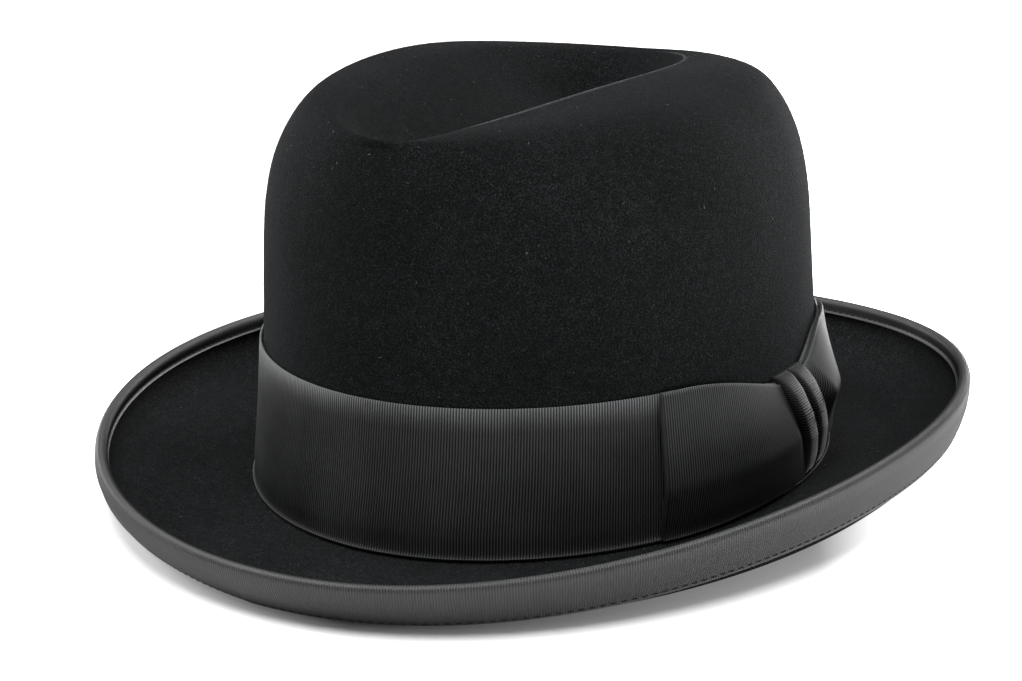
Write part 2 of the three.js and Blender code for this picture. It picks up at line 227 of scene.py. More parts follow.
def brim_point(section, s):
    """A point a length s in from the felt's edge, along its upper side."""
    climb, lean, radius = section["climb"], section["lean"], section["radius"]
    plate, arc = section["plate"], section["arc"]
    s = np.broadcast_to(s, arc.shape)
    angle = lean - s / radius
    on_plate = plate - (s - arc)
    x = np.where(s < arc, plate * np.cos(climb) + radius * (np.sin(angle) - np.sin(climb)), on_plate * np.cos(climb))
    z = np.where(s < arc, plate * np.sin(climb) + radius * (np.cos(climb) - np.cos(angle)), on_plate * np.sin(climb))
    return lifted(section["foot"] + section["outward"] * x[:, None], z)


def break_point(section, share):
    """The fold between the brim's plate (0) and the crown's wall (1)."""
    angle = share * math.pi / 2
    away = BREAK_FILLET * (1 - math.sin(angle))
    up = BREAK_FILLET * (1 - math.cos(angle)) + away * np.tan(section["climb"])
    return lifted(section["foot"] + section["outward"] * away, up)


sides = brim_section(np.radians([0.0, 90.0, 180.0, 270.0]))
print("Radius of the curl, front, left, back and right, in mm:", sides["radius"].round(1))

# %% [markdown]
# ## The felt as rows
# The felt's upper and outer side is a stack of closed rows, from the brim's edge over the break and the crown to
# the floor of the dent. Two tools turn few rows into a fine surface: a spline that runs through every column, and
# the direction at right angles to the surface, off which the ribbons and the felt's inside are laid.

# %% Rows, splines and normals
CURL_STEP = 3.0
CURL_ROWS = 4


def felt_rows(t):
    """Rows of points over the felt's upper side, and the places of some rows in that list."""
    section = brim_section(t)
    rows = [brim_point(section, row * CURL_STEP) for row in range(CURL_ROWS + 1)]
    for share in (0.5, 1.0):
        rows.append(brim_point(section, middle(CURL_ROWS * CURL_STEP, section["arc"], share)))
    for share in (0.33, 0.67):
        rows.append(brim_point(section, section["arc"] + share * (section["plate"] - BREAK_FILLET)))
    rows += [break_point(section, share) for share in (0, 0.33, 0.67, 1)]
    places = {"band_foot": len(rows) - 3}
    band = band_top((t - math.pi / 2) * HALF_LENGTH)
    for row in WALL_ROWS:
        row = dict(zip(WALL_KEYS, row))
        rows.append(lifted(row_oval(t, row), middle(BREAK_FILLET, band, row["up"])))
    places["band_top"] = len(rows) - 1
    height = around(CROWN_HEIGHT, t)
    skew = DENT_SKEW * (1 + np.cos(t)) / 2
    for row in CROWN_ROWS:
        row = dict(zip(CROWN_KEYS, row))
        level = lifted(row_oval(t, row), middle(band, height, row["up"]))
        level[:, 0] -= skew * row["skew"]
        rows.append(level)
    places["lip"] = len(rows)
    egg = np.where(np.sin(t) > 0, DENT_EGG_LEFT, DENT_EGG_RIGHT)
    lip = oval(t, *DENT_SIDES, egg)
    floor = np.stack([np.zeros_like(t), -DENT_FLOOR * np.cos(t), np.zeros_like(t)], axis=-1)
    for inward, crest, soft in DENT_ROWS:
        down = around((crest, crest, soft, soft), t)
        level = lifted(middle(lip, floor, inward), height - DENT_DEPTH * down)
        level[:, 0] -= skew
        rows.append(level)
    return np.array(rows), places


def spline_rows(rows, steps):
    """Rows on centripetal splines through the given rows: steps[k] of them from row k on, and the last row."""
    gaps = np.sqrt(np.linalg.norm(np.diff(rows, axis=0), axis=2).mean(axis=1))
    gaps = np.concatenate([gaps[:1], gaps, gaps[-1:]])
    knots = np.concatenate([[0], np.cumsum(gaps)])
    points = np.concatenate([[2 * rows[0] - rows[1]], rows, [2 * rows[-1] - rows[-2]]])
    fine = []
    for k, count in enumerate(steps):
        g = knots[k:k + 4]
        p = points[k:k + 4]
        for share in np.arange(count) / count:
            x = middle(g[1], g[2], share)
            a = [middle(p[i], p[i + 1], (x - g[i]) / (g[i + 1] - g[i])) for i in range(3)]
            b = [middle(a[i], a[i + 1], (x - g[i]) / (g[i + 2] - g[i])) for i in range(2)]
            fine.append(middle(b[0], b[1], (x - g[1]) / (g[2] - g[1])))
    return np.array(fine + [rows[-1]])


def normals(rows):
    """Directions at right angles to a sheet of closed rows, on its upper and outer side."""
    inward = np.concatenate([rows[1:2] - rows[:1], rows[2:] - rows[:-2], rows[-1:] - rows[-2:-1]])
    onward = np.roll(rows, -1, axis=1) - np.roll(rows, 1, axis=1)
    return unit(np.cross(onward, inward))


def middle_angles(count):
    """The middles of equal parts of a turn."""
    return (np.arange(count) + 0.5) * 2 * math.pi / count


def even_angles(count, curve, steps=1024):
    """Angles at which count points lie evenly along a closed curve, and its length. curve takes the angles."""
    t = np.linspace(0, 2 * math.pi, steps + 1)
    points = curve(t)
    length = np.concatenate([[0], np.cumsum(np.linalg.norm(np.diff(points, axis=0), axis=1))])
    return np.interp((np.arange(count) + 0.5) / count * length[-1], length, t), length[-1]


coarse_rows, row_places = felt_rows(middle_angles(56))
print("Rows of the felt:", len(coarse_rows), "with these places:", row_places)

# %% [markdown]
# ## From points to meshes
# Most pieces are a grid of points, so one function makes them: it joins the points by squares and closes the grid
# where rows or columns come round again. An open end is filled by a strip of squares from one half of its row to
# the other. The mesh stays closed, so it can be measured and printed.

# %% Mesh maker
def grid_solid(name, grid, joined_rows, fill_ends=False, attributes=None, sharp=60.0):
    """An object from a grid of points in mm. Columns come round again, and rows do too if joined_rows is True."""
    rows, columns = grid.shape[:2]
    index = np.arange(rows * columns).reshape(rows, columns)
    nearer = index if joined_rows else index[:-1]
    farther = np.roll(index, -1, axis=0) if joined_rows else index[1:]
    after, beyond = np.roll(nearer, -1, axis=1), np.roll(farther, -1, axis=1)
    faces = np.stack([nearer, after, beyond, farther], axis=-1).reshape(-1, 4)
    if fill_ends:
        half = np.arange(columns // 2 - 1)
        for row, turned in ((index[0], True), (index[-1], False)):
            strip = np.stack([row[half], row[half + 1], row[columns - 2 - half], row[columns - 1 - half]], axis=-1)
            faces = np.concatenate([faces, strip[:, ::-1] if turned else strip])
    points = grid.reshape(-1, 3) * MM + OVAL_MIDDLE
    corners = points[faces] - points.mean(axis=0)
    facing = np.cross(corners[:, 1], corners[:, 2]) + np.cross(corners[:, 2], corners[:, 3])
    if (corners[:, 0] * facing).sum() < 0:
        faces = faces[:, ::-1]
    return mesh_object(name, points, faces, attributes, sharp)


def mesh_object(name, points, faces, attributes=None, sharp=60.0):
    """An object from points in metres and faces with the same number of corners each, shaded smooth."""
    mesh = bpy.data.meshes.new(name)
    mesh.vertices.add(len(points))
    mesh.vertices.foreach_set("co", np.asarray(points, np.float32).ravel())
    size = faces.shape[1]
    mesh.loops.add(faces.size)
    mesh.loops.foreach_set("vertex_index", np.asarray(faces, np.int32).ravel())
    mesh.polygons.add(len(faces))
    mesh.polygons.foreach_set("loop_start", np.arange(0, faces.size, size, dtype=np.int32))
    mesh.update(calc_edges=True)
    mesh.validate()
    mesh.polygons.foreach_set("use_smooth", np.ones(len(mesh.polygons), bool))
    if sharp:
        mesh.set_sharp_from_angle(angle=math.radians(sharp))
    for key, values in (attributes or {}).items():
        layer = mesh.attributes.new(key, "FLOAT", "POINT")
        layer.data.foreach_set("value", np.asarray(values, np.float32).ravel())
    made = bpy.data.objects.new(name, mesh)
    bpy.context.scene.collection.objects.link(made)
    print(f"{name}: {len(mesh.polygons)} faces")
    return made


def dress(piece, finish, slot_name, *nodes):
    """Gives a piece its finish and its body, and lets it stand for nodes of the frame. slot_name is not used."""
    piece.data.materials.append(finish)
    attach(piece, "root")
    if nodes:
        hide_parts(*nodes)


# %% [markdown]
# ## Shader maths
# A finish mixes noise and wave values before they reach the shader. Wiring that by hand hides the formula, so a
# value here is a wrapped socket, and + and * write the Math nodes. Every other node comes from one method that takes
# its type, its settings and what goes into its sockets.

# %% Values and finishes
class Value:
    """An output socket that can be used in a Python expression."""

    def __init__(self, finish, socket):
        self.finish = finish
        self.socket = socket

    def __add__(self, other):
        return self.finish.add("ShaderNodeMath", {"operation": "ADD"}, {0: self, 1: other})

    def __mul__(self, other):
        return self.finish.add("ShaderNodeMath", {"operation": "MULTIPLY"}, {0: self, 1: other})

    __radd__ = __add__
    __rmul__ = __mul__


class Finish:
    """The node tree of one material, with one Principled shader."""

    def __init__(self, name, **constants):
        self.material = bpy.data.materials.new(name)
        self.material.use_nodes = True
        self.tree = self.material.node_tree
        self.tree.nodes.clear()
        self.shader = self.tree.nodes.new("ShaderNodeBsdfPrincipled")
        output = self.tree.nodes.new("ShaderNodeOutputMaterial")
        self.tree.links.new(self.shader.outputs["BSDF"], output.inputs["Surface"])
        for key, value in constants.items():
            self.shader.inputs[key.replace("_", " ")].default_value = value

    def add(self, kind, settings=None, inputs=None, output=0):
        """A node of that kind: its settings are set first, then the values or links of its sockets."""
        node = self.tree.nodes.new(kind)
        for key, value in (settings or {}).items():
            setattr(node, key, value)
        self.feed(node, inputs or {})
        return Value(self, node.outputs[output])

    def feed(self, node, inputs):
        """Sets or links the sockets of a node."""
        for key, value in inputs.items():
            if isinstance(value, Value):
                self.tree.links.new(value.socket, node.inputs[key])
            else:
                node.inputs[key].default_value = value

    def noise(self, place, scale, detail=2.0, roughness=0.5):
        """Noise at a place, about 0.5 on average."""
        settings = {"noise_dimensions": "3D"}
        inputs = {"Vector": place, "Scale": scale, "Detail": detail, "Roughness": roughness}
        return self.add("ShaderNodeTexNoise", settings, inputs)

    def place(self):
        """The place in the hat's own frame, in metres."""
        return self.add("ShaderNodeTexCoord", output="Object")

    def stored(self, name):
        """A value that is stored on the mesh."""
        return self.add("ShaderNodeAttribute", {"attribute_name": name}, output="Fac")

    def ramp(self, value, stops):
        """Colours along a value. stops holds positions and colours."""
        out = self.add("ShaderNodeValToRGB", None, {"Fac": value})
        elements = out.socket.node.color_ramp.elements
        while len(elements) < len(stops):
            elements.new(0.5)
        for element, (position, color) in zip(elements, stops):
            element.position = position
            element.color = (*color, 1.0)
        return out

    def bump(self, height, distance, strength):
        """A Bump node that feeds the shader's normal."""
        inputs = {"Height": height, "Distance": distance, "Strength": strength}
        self.feed(self.shader, {"Normal": self.add("ShaderNodeBump", None, inputs, "Normal")})


def grey(level, tint=(1.0, 1.0, 1.0)):
    """A linear colour of that level with a slight tint."""
    return tuple(level * part for part in tint)


def speckled(name, scale, detail, stops, unevenness=0.5, **constants):
    """A finish whose colour changes with one noise. stops holds the noise's values and their colours."""
    finish = Finish(name, **constants)
    noise = finish.noise(finish.place(), scale, detail, unevenness)
    finish.feed(finish.shader, {"Base Color": finish.ramp(noise, stops)})
    return finish


print("Shader helpers are ready")

# %% [markdown]
# ## Black velour felt
# Brushed felt has a short pile that swallows light: nearly black face on and a little lighter at a grazing look,
# which is the shader's sheen. The pile is uneven at three sizes, single tufts, small brush marks and wide soft
# clouds, so noise at those sizes drives the colour. The colour is also lightened on the brim as painted light,
# and along the dent's crest as a painted highlight.

# %% Felt finish
FELT_TINT = (0.94, 1.0, 1.04)


def felt_finish():
    """Brushed black felt."""
    finish = Finish("brushed_black_felt", Sheen_Weight=0.026, Sheen_Roughness=0.25, Specular_IOR_Level=0.02)
    finish.feed(finish.shader, {"Sheen Tint": (0.72, 0.78, 0.82, 1.0)})
    place = finish.place()
    tufts = finish.noise(place, 2100, 2, 0.7)
    marks = finish.noise(place, 420, 3, 0.6)
    clouds = finish.noise(place, 24, 2, 0.5)
    # The stored value paints light into the colour: lighter on the brim, and a painted highlight along the crest.
    pile = tufts * 0.75 + marks * 0.15 + clouds * 0.10 + finish.stored("painted_light") * 0.05
    levels = ((0.34, 0.0020), (0.50, 0.0048), (0.64, 0.0150), (0.80, 0.07))
    stops = [(position, grey(level, FELT_TINT)) for position, level in levels]
    roughness = 0.86 + 0.12 * marks
    finish.feed(finish.shader, {"Base Color": finish.ramp(pile, stops), "Roughness": roughness})
    finish.bump(tufts * 0.7 + marks * 0.3, 0.0005, 0.9)
    return finish.material


black_felt = felt_finish()
print("Felt finish:", black_felt.name)

# %% [markdown]
# ## Ribbed ribbon
# The ribbon is grosgrain: thick threads run across it and stand up as ribs about 0.85 mm apart, bound by fine
# threads along it. The ribs are real waves in the meshes below, which store how high each point lies on its rib
# and where it lies across the ribbon, so the finish can paint shade into the valleys and lay the fine threads.
# Some edges are marked too, and the finish lightens them as a painted highlight.

# %% Ribbon finish
FINE_THREADS = 2.6


def ribbon_finish(name, dark, light, gloss):
    """Charcoal grosgrain with painted shade in the valleys and a painted highlight on marked edges. dark and light
    are the levels in the valleys and on the ribs.
    """
    finish = Finish(name, Sheen_Weight=0.02, Sheen_Roughness=0.3, Specular_IOR_Level=gloss)
    place = finish.place()
    rib = finish.stored("rib")
    across = finish.stored("across")
    worn = finish.noise(place, 55, 3, 0.6)
    slub = finish.noise(place, 1600, 2, 0.6)
    threads = finish.add("ShaderNodeMath", {"operation": "SINE"}, {0: across * (2 * math.pi * FINE_THREADS)})
    # The rib's height darkens the valleys as painted shade; the fine threads and the slub are the ribbon's own
    # pattern.
    weave_and_valley_shade = rib * 0.78 + (threads * 0.5 + 0.5) * 0.04 + slub * 0.18
    levels = ((0.25, dark), (0.60, middle(dark, light, 0.35)), (0.88, light), (1.0, 2.2 * light))
    stops = [(position, grey(level, (0.97, 1.0, 1.02))) for position, level in levels]
    # The marked edges are lightened as a painted highlight; the worn noise is the ribbon's own uneven tone.
    color = finish.ramp(weave_and_valley_shade * 0.8 + worn * 0.22 + finish.stored("selvedge_highlight") * 0.28, stops)
    finish.feed(finish.shader, {"Base Color": color, "Roughness": 0.42 + 0.2 * slub})
    finish.bump(slub, 0.00008, 0.6)
    return finish.material


band_ribbon = ribbon_finish("charcoal_band_ribbon", 0.0012, 0.050, 0.08)
edge_ribbon = ribbon_finish("charcoal_edge_ribbon", 0.0012, 0.045, 0.45)
print("Ribbon finishes:", band_ribbon.name, edge_ribbon.name)

# %% [markdown]
# ## The felt body
# Crown and brim are one skin, a fine spline surface. The dent's left lip is a crisp crest where the block's edge
# pressed the felt, and the right lip is soft, so two splines are mixed there: one runs through the lip, and the
# other breaks at it. Slow waves of less than half a millimetre keep the felt from looking cast.

# %% Felt body
FELT_COLUMNS = 300
FELT_STEPS = 7
INSIDE_STEPS = 3
# The crest grows from its first angle and fades towards its last, both over some degrees.
CREST_FROM, CREST_GROWS = 25, 25
CREST_TO, CREST_FADES = 172, 20
# The slow waves grow from a height over the band.
WAVES_FROM, WAVES_GROW = 3, 12
# Painted light: how much lighter the colour is on the brim, and along the crest as a painted highlight.
PAINTED_LIGHT_BRIM = 0.5
PAINTED_HIGHLIGHT_CREST = 4.5


def lip_crest(t):
    """How far the dent's lip is a crisp crest at the angles t, from 0 to 1."""
    return smooth((np.degrees(t) - CREST_FROM) / CREST_GROWS) * smooth((CREST_TO - np.degrees(t)) / CREST_FADES)


def felt_surface(t, steps):
    """The felt's fine outer rows at the angles t."""
    rows, _ = felt_rows(t)
    count = [steps] * (len(rows) - 1)
    soft = spline_rows(rows, count)
    lip = row_places["lip"]
    crisp = np.concatenate([spline_rows(rows[:lip + 1], count[:lip])[:-1], spline_rows(rows[lip:], count[lip:])])
    return middle(soft, crisp, lip_crest(t)[None, :, None])


def slow_waves(points):
    """The felt's unevenness, in mm: a few long waves over the surface."""
    x, y, z = points[..., 0], points[..., 1], points[..., 2]
    wave = np.sin(x / 17 + y / 29 + 0.4) * np.cos(y / 23 - z / 19 + 1.1)
    return 0.22 * wave + 0.12 * np.sin(x / 9 - y / 13 + z / 11)


felt_angles = middle_angles(FELT_COLUMNS)
outer = felt_surface(felt_angles, FELT_STEPS)
outer_normals = normals(outer)
above_band = smooth((outer[..., 2] - BAND_HEIGHT - WAVES_FROM) / WAVES_GROW)
outer = outer + outer_normals * (slow_waves(outer) * above_band)[..., None]
inner = felt_surface(felt_angles, INSIDE_STEPS)
inner = inner - normals(inner) * FELT
# Painted light: the brim's rows get a lighter colour, and the crest's row gets a painted highlight.
painted_light = np.zeros(outer.shape[:2])
painted_light[:row_places["band_foot"] * FELT_STEPS] = PAINTED_LIGHT_BRIM
painted_light[row_places["lip"] * FELT_STEPS] = PAINTED_HIGHLIGHT_CREST * lip_crest(felt_angles)
painted_light = np.concatenate([painted_light[::-1], np.zeros(inner.shape[:2])])
skin = np.concatenate([outer[::-1], inner])
felt_body = grid_solid("felt_crown_and_brim", skin, False, True, {"painted_light": painted_light}, None)
dress(felt_body, black_felt, "felt", "felt_body")

# %% [markdown]
# ## Hat band
# A 43.5 mm ribbon with upright ribs stands round the crown and is gathered under the knot. Columns are laid evenly
# along it, four to a rib, so that a rib has a top, a valley and two sides.

# %% Ribs and the hat band
RIB_PITCH = 0.85
RIB_COLUMNS = 4
RIB_HEIGHT = 0.14
RIBBON = 0.9
RIBBON_GAP = 0.3
BAND_STEPS = 3
# At both edges the ribs fade to a share of their height, and the ribbon is rounded by so many mm.
EDGE_RIBS = 0.3
EDGE_TOP = 0.35
EDGE_FOOT = 0.2


def rib_wave(count):
    """The height of each column on its rib, from -1 to 1."""
    return np.cos(np.arange(count) * 2 * math.pi / RIB_COLUMNS)


def ribbon_marks(grid, wave, across, selvedge_highlight):
    """What a ribbon's finish reads at each point: its height on the rib, which sets the painted shade in the valleys,
    its place across, and the edges that get a painted highlight.
    """
    marks = {"rib": 0.5 + 0.5 * wave, "across": across, "selvedge_highlight": selvedge_highlight}
    return {key: np.broadcast_to(values, grid.shape[:2]) for key, values in marks.items()}


def band_curve(t):
    """The oval at half the band's height."""
    return row_oval(t, dict(zip(WALL_KEYS, WALL_ROWS[1])))


def rib_angles(curve, pitch):
    """The angles of a ribbon's columns along a closed curve, its number of ribs and the curve's length."""
    _, length = even_angles(RIB_COLUMNS, curve)
    ribs = round(length / pitch)
    return even_angles(ribs * RIB_COLUMNS, curve)[0], ribs, length


band_angles, band_ribs, band_length = rib_angles(band_curve, RIB_PITCH)


def band_solid():
    """The hat band as a closed ring of ribbon."""
    rows, places = felt_rows(band_angles)
    first, last = places["band_foot"], places["band_top"]
    fine = spline_rows(rows[first - 1:last + 2], [BAND_STEPS] * (last - first + 2))
    facing = normals(fine)
    fine, facing = fine[BAND_STEPS:-BAND_STEPS], facing[BAND_STEPS:-BAND_STEPS]
    wave = rib_wave(len(band_angles))
    count = len(fine)
    fade = np.ones(count)
    fade[[0, -1]] = EDGE_RIBS
    face = fine + facing * (RIBBON_GAP + RIBBON + RIB_HEIGHT * wave * fade[:, None])[..., None]
    back = fine + facing * RIBBON_GAP
    upward = np.array([0, 0, 1.0])
    top = middle(face[-1], back[-1], 0.5) + upward * EDGE_TOP
    foot = middle(face[0], back[0], 0.5) - upward * EDGE_FOOT
    grid = np.concatenate([[foot], face, [top], back[::-BAND_STEPS]])
    # The band's top edge gets a painted highlight.
    selvedge_highlight = np.zeros((len(grid), 1))
    selvedge_highlight[[count, count + 1]] = 1
    marks = ribbon_marks(grid, wave, grid[..., 2:3].mean(axis=1), selvedge_highlight)
    return grid_solid("ribbed_hat_band", grid, True, attributes=marks)


hat_band = band_solid()
dress(hat_band, band_ribbon, "ribbon", "hat_band")
print("Ribs round the band:", band_ribs, "on", round(band_length), "mm")

# %% [markdown]
# ## Binding of the brim's edge
# The binding is a ribbon folded lengthwise over the raw edge, with a narrow leg inside the curl and a wide one
# outside. Its section is laid round the felt's edge as a path, and the path is carried round the brim.

# %% Brim binding
BINDING_PITCH = 0.78
BINDING = 0.75
BINDING_GAP = 0.15
INSIDE_LEG = 3.0
OUTSIDE_LEG = 12.0
BINDING_RIB = 0.12
BINDING_EDGE_RIB = 0.02
# How far the face turns down at the inside leg's end and at the outside leg's.
TURNED_DOWN = (0.62, 0.3)


def edge_curve(t):
    """The felt's edge."""
    return brim_point(brim_section(t), 0.0)


edge_angles, edge_ribs, edge_length = rib_angles(edge_curve, BINDING_PITCH)


def binding_path(section, distance, legs):
    """Points round the felt's edge at a distance from it, from the inside leg's end to the outside leg's."""
    def on_felt(s):
        near, far = (brim_point(section, place) for place in (max(s - NEARBY, 0.0), s + NEARBY))
        onward = unit(near - far)
        round_the_hat = np.roll(near, -1, axis=0) - np.roll(near, 1, axis=0)
        return brim_point(section, s), unit(np.cross(round_the_hat, -onward)), onward

    inside, outside, bend = legs
    path = [point + facing * distance for point, facing, _ in map(on_felt, inside)]
    point, facing, onward = on_felt(0.0)
    core = point - facing * FELT / 2
    for angle in bend:
        path.append(core + (facing * math.cos(angle) + onward * math.sin(angle)) * (FELT / 2 + distance))
    path += [point - facing * (FELT + distance) for point, facing, _ in map(on_felt, outside)]
    return np.array(path)


def binding_solid():
    """The binding as a closed ring."""
    section = brim_section(edge_angles)
    bend = np.radians([0, 45, 90, 135, 180])
    fine = (INSIDE_LEG * np.array([1.0, 0.80, 0.5]), OUTSIDE_LEG * np.array([0.25, 0.50, 0.75, 0.97, 1]), bend)
    plain = (INSIDE_LEG * np.array([1.0]), OUTSIDE_LEG * np.array([0.33, 0.67, 1.0]), bend[::2])
    face = binding_path(section, BINDING_GAP + BINDING, fine)
    back = binding_path(section, BINDING_GAP, plain)
    facing = normals(face)
    wave = rib_wave(len(edge_angles))
    height = np.full(len(face), BINDING_RIB)
    height[[0, -1]] = BINDING_EDGE_RIB
    down = np.zeros(len(face))
    down[[0, -1]] = TURNED_DOWN
    face = face + facing * (height[:, None] * wave - down[:, None])[..., None]
    grid = np.concatenate([face, back[::-1]])
    steps = np.linalg.norm(np.diff(grid, axis=0), axis=2).mean(axis=1)
    across = np.concatenate([[0], np.cumsum(steps)])[:, None]
    # The end of the outside leg gets a painted highlight.
    selvedge_highlight = np.zeros((len(grid), 1))
    selvedge_highlight[len(face) - 1] = 1
    return grid_solid("ribbed_brim_binding", grid, True, attributes=ribbon_marks(grid, wave, across, selvedge_highlight))


binding = binding_solid()
dress(binding, edge_ribbon, "ribbon", "brim_binding")
print("Ribs round the binding:", edge_ribs, "on", round(edge_length), "mm")

# %% [markdown]
# ## Stitches of the binding
# One row of machine stitches holds both legs, close to their ends. Each stitch is a short thread that dips into
# the ribbon at both ends, and all of them are one light mesh.

# %% Stitches
STITCH_PITCH = 3.1
STITCH_LENGTH = 2.2
STITCH_INSET = 1.1
STITCH_POINTS = 5
THREAD = 0.17
# How high a stitch stands at its middle, and how far it dips from there to its ends.
STITCH_HEIGHT, STITCH_DIP = 0.14, 0.3


def thread_mesh(name, paths, radii, sides=5):
    """One mesh of many short closed threads. paths holds points in mm, and radii the thread's radius at each."""
    count, length = paths.shape[:2]
    onward = unit(np.gradient(paths, axis=1))
    helper = np.where(np.abs(onward[..., 2:3]) > 0.9, [1.0, 0.0, 0.0], [0.0, 0.0, 1.0])
    first = unit(np.cross(onward, helper))
    second = np.cross(onward, first)
    turn = np.arange(sides) * 2 * math.pi / sides
    ring = first[:, :, None] * np.cos(turn)[:, None] + second[:, :, None] * np.sin(turn)[:, None]
    points = paths[:, :, None] + ring * radii[None, :, None, None]
    index = np.arange(count * length * sides).reshape(count, length, sides)
    near, far = index[:, :-1], index[:, 1:]
    quads = np.stack([near, far, np.roll(far, -1, 2), np.roll(near, -1, 2)], axis=-1).reshape(-1, 4)
    triangles = [quads[:, [0, 1, 2]], quads[:, [0, 2, 3]]]
    for k in range(1, sides - 1):
        triangles += [index[:, 0, [0, k, k + 1]], index[:, -1, [0, k + 1, k]]]
    return mesh_object(name, points.reshape(-1, 3) * MM + OVAL_MIDDLE, np.concatenate(triangles), sharp=None)


def stitch_paths(s, side):
    """The paths of the stitches a length s in from the edge, above (1) or below (-1) the felt."""
    count = round(edge_length / STITCH_PITCH)
    middles, _ = even_angles(count, edge_curve)
    shares = np.linspace(-1, 1, STITCH_POINTS)
    t = (middles[:, None] + shares * (STITCH_LENGTH / edge_length * math.pi)).ravel()
    section = brim_section(t)
    inward = brim_point(section, s + NEARBY) - brim_point(section, s - NEARBY)
    step = 0.001
    onward = brim_point(brim_section(t + step), s) - brim_point(brim_section(t - step), s)
    facing = unit(np.cross(onward, inward))
    surface = BINDING_GAP + BINDING + (FELT if side < 0 else 0)
    height = np.tile(STITCH_HEIGHT - STITCH_DIP * shares ** 4, count)
    paths = brim_point(section, s) + facing * (side * (surface + height))[:, None]
    return paths.reshape(count, STITCH_POINTS, 3)


thread_stops = [(0.3, grey(0.003)), (0.7, grey(0.012))]
thread_finish = speckled("black_sewing_thread", 900, 2, thread_stops, Roughness=0.7, Specular_IOR_Level=0.2)
stitches = thread_mesh(
    "binding_stitches",
    np.concatenate([stitch_paths(OUTSIDE_LEG - STITCH_INSET, -1), stitch_paths(INSIDE_LEG - STITCH_INSET, 1)]),
    THREAD * np.array([0.5, 0.9, 1.0, 0.9, 0.5]),
)
dress(stitches, thread_finish.material, "ribbon")

# %% [markdown]
# ## The side of the band as a map
# The bow lies on the band, so its points are given as on a map of the hat's left side: along the band from the
# side's middle towards the back, up from the break, and out from the band's face.

# %% Map of the side
OVER_BAND_ROW = (1.30, 0.964, 0.971, 0.905, 0.943, 0.03)
SIDE_TABLE = np.array([tuple(BREAK_ROW.values()), *WALL_ROWS, OVER_BAND_ROW]).T


def side_point(along, up, out):
    """A point over the band's face."""
    along, up, out = np.broadcast_arrays(np.asarray(along, float), up, out)
    share = np.clip((up - BREAK_FILLET) / (band_top(along) - BREAK_FILLET), 0, OVER_BAND_ROW[0])
    row = {key: np.interp(share, SIDE_TABLE[0], column) for key, column in zip(WALL_KEYS, SIDE_TABLE)}
    turn = math.pi / 2 + along / HALF_LENGTH
    point = row_oval(turn, row)
    step = 0.01
    onward = unit(row_oval(turn + step, row) - row_oval(turn - step, row))
    outward = np.stack([onward[..., 1], -onward[..., 0], np.zeros_like(turn)], axis=-1)
    sunk = np.clip(1 - up / BREAK_FILLET, 0, 1)
    flare = BREAK_FILLET * (1 - np.sqrt(1 - sunk ** 2))
    away = RIBBON_GAP + RIBBON + flare + out
    return lifted(point + outward * away[..., None], up)


WRAP_WIDTH = 9.0
WRAP_DEPTH = 5.2
WRAP_RIB = 0.15
KNOT_LOW = 3.0
KNOT_HIGH = 37.0
# Up the knot, in shares of its height: how far back the front and the back wrap lie, in wrap widths, and how high
# they arch.
WRAP_PLACES = np.array([
    (0.00, -0.03, 1.16, 0.45),
    (0.14, -0.07, 1.07, 0.66),
    (0.36, -0.27, 0.84, 0.92),
    (0.60, -0.70, 0.51, 1.00),
    (0.85, -1.23, -0.13, 0.92),
    (1.00, -1.53, -0.46, 0.70),
])


def wrap_along(column, up):
    """How far a wrap lies behind the side's middle at a height: column 1 is the front wrap, 2 the back wrap."""
    share = np.clip((up - KNOT_LOW) / (KNOT_HIGH - KNOT_LOW), 0, 1)
    fit = np.polyfit(WRAP_PLACES[:, 0], WRAP_PLACES[:, column], 4)
    return np.polyval(fit, share) * WRAP_WIDTH


print("The knot's wraps at mid height lie at", [round(float(wrap_along(c, 20.0)), 1) for c in (1, 2)], "mm")

# %% [markdown]
# ## The bow's loops
# Each loop is one flat ribbon: it leaves the knot, stands away from the band in a low ridge, folds round at its
# end and comes back flat under itself. It is laid by formula and not by a cloth simulation, because the real folds
# are pressed and sewn.

# %% Bow loops
LOOP_SEAT = 0.35
LOOP_RIBBON = 0.8
LOOP_AIR = 0.35
LOOP_CREASE = 0.6
LOOP_TUCK = 5.0
LOOP_RIB = 0.07
LOOP_POINTS = 34
# The ribbon starts under the wrap, at this share of the wrap's width from its middle.
UNDER_WRAP = 0.42
# The layer that is folded back under the loop is a little narrower, and lies flat from this share of the loop's
# length to the knot.
LAYER_WIDTH = 0.95
LAYER_FROM = 0.85
RIDGE_SOFTNESS = 0.06
LOOP_KEYS = ("along", "low", "high", "lift", "ridge")
FRONT_LOOP = [
    (0.00, 0.07, 0.92, 1.8, 0.50),
    (0.12, 0.06, 0.965, 3.0, 0.47),
    (0.30, 0.05, 1.005, 3.5, 0.42),
    (0.55, 0.04, 1.015, 3.4, 0.38),
    (0.80, 0.03, 1.02, 3.2, 0.36),
    (1.00, 0.03, 1.02, 3.0, 0.35),
]
BACK_LOOP = [
    (0.00, 0.30, 1.04, 2.4, 0.44),
    (0.15, 0.29, 1.06, 5.4, 0.45),
    (0.35, 0.23, 1.05, 6.4, 0.47),
    (0.60, 0.15, 1.05, 4.2, 0.48),
    (0.82, 0.12, 1.04, 1.9, 0.45),
    (1.00, 0.13, 1.03, 0.9, 0.42),
]


def loop_columns(table, share):
    """The loop's table at a share along it, on a smooth curve through its rows."""
    columns = np.array(table).T
    order = len(table) - 2
    return {key: np.polyval(np.polyfit(columns[0], columns[i], order), share) for i, key in enumerate(LOOP_KEYS)}


def ridge_form(v, ridge):
    """How far the ribbon is lifted across its width: two slopes that meet in a rounded ridge."""
    low = v / ridge
    high = ((1 - v) / (1 - ridge)) ** 0.9
    both = -RIDGE_SOFTNESS * np.log(np.exp(-low / RIDGE_SOFTNESS) + np.exp(-high / RIDGE_SOFTNESS))
    return np.clip(both + 0.02, 0, None)


